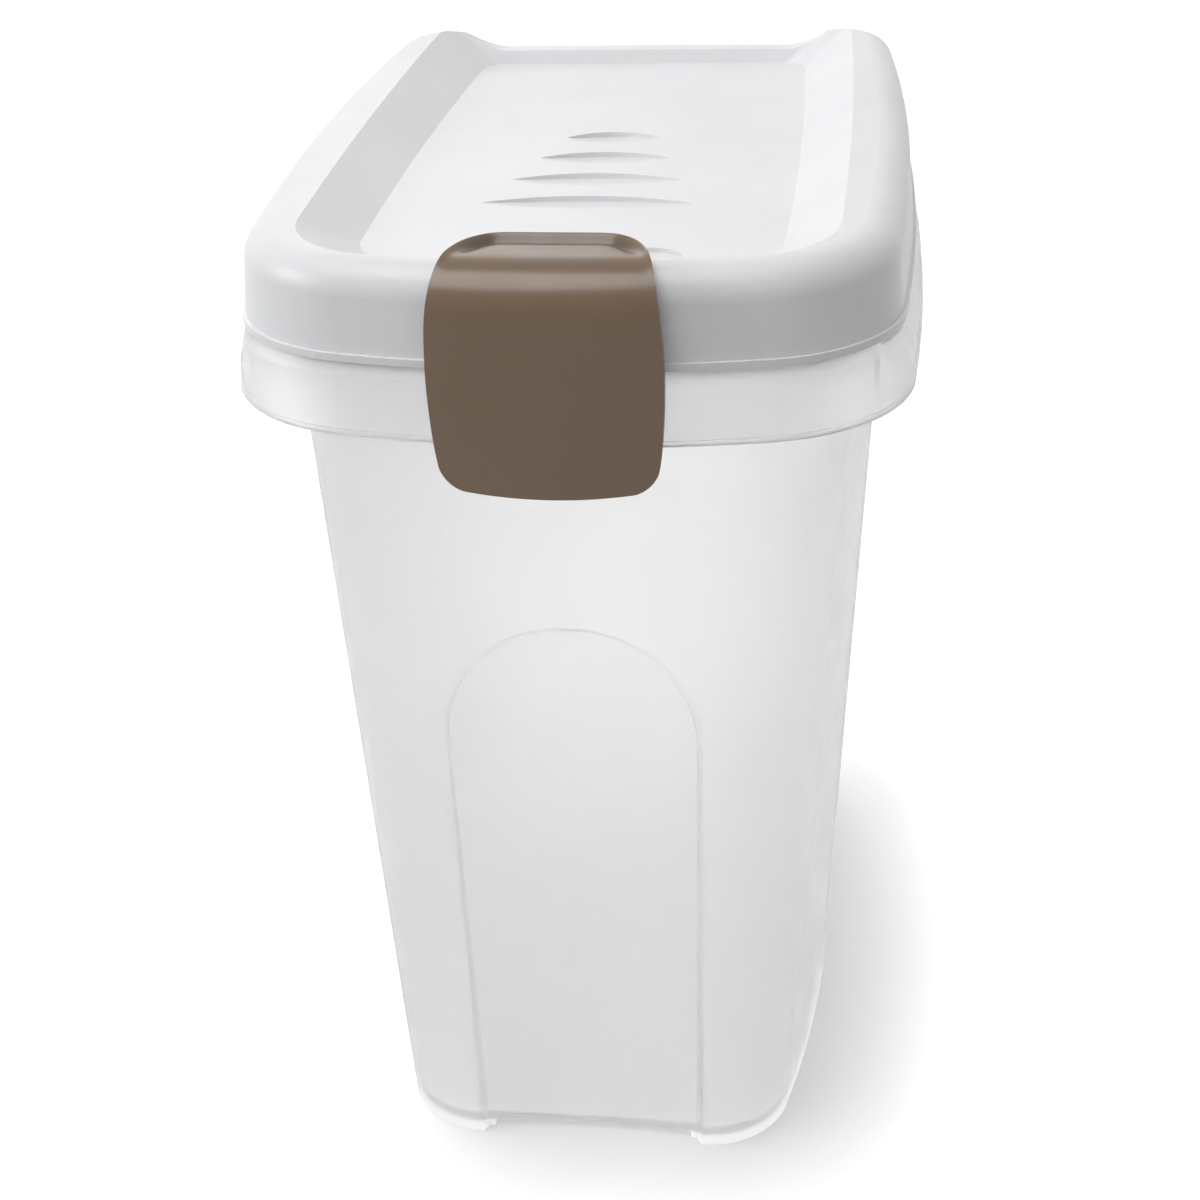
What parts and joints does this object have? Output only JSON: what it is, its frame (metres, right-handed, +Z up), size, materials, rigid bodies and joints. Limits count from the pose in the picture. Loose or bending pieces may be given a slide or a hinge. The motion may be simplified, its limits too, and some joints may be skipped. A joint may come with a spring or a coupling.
{
  "type": "pet food storage container",
  "caption": "Upright tapered food bin with a hinged lid that seals on an inner rim, a sunken tray on top and a front latch over the collar.",
  "frame": {"origin": "on the floor, under the middle of the closed bin's overall width and depth", "axes": "+X to the bin's left as seen from the back, -Y to the front with the latch, +Z up"},
  "size_m": [0.2284, 0.326, 0.3549],
  "materials": {
    "tub_plastic": "frosted translucent",
    "lid_plastic": "satin white",
    "latch_plastic": "satin taupe",
    "seal_rubber": "soft white",
    "pin_plastic": "satin white"
  },
  "bodies": {
    "tub": {"tub": "tub_plastic", "hinge_pin_left": "pin_plastic", "hinge_pin_right": "pin_plastic"},
    "lid": {"lid": "lid_plastic", "lid_seal": "seal_rubber", "latch_pin": "pin_plastic"},
    "latch": {"latch": "latch_plastic"}
  },
  "joints": [
    {"name": "lid_hinge", "type": "hinge", "parent": "tub", "child": "lid", "pos_m": [0, 0.1585, 0.328], "axis": [-1, 0, 0], "range_deg": [0, 105]},
    {"name": "latch_hinge", "type": "hinge", "parent": "lid", "child": "latch", "pos_m": [0, -0.134, 0.3472], "axis": [-1, 0, 0], "range_deg": [0, 90]}
  ]
}
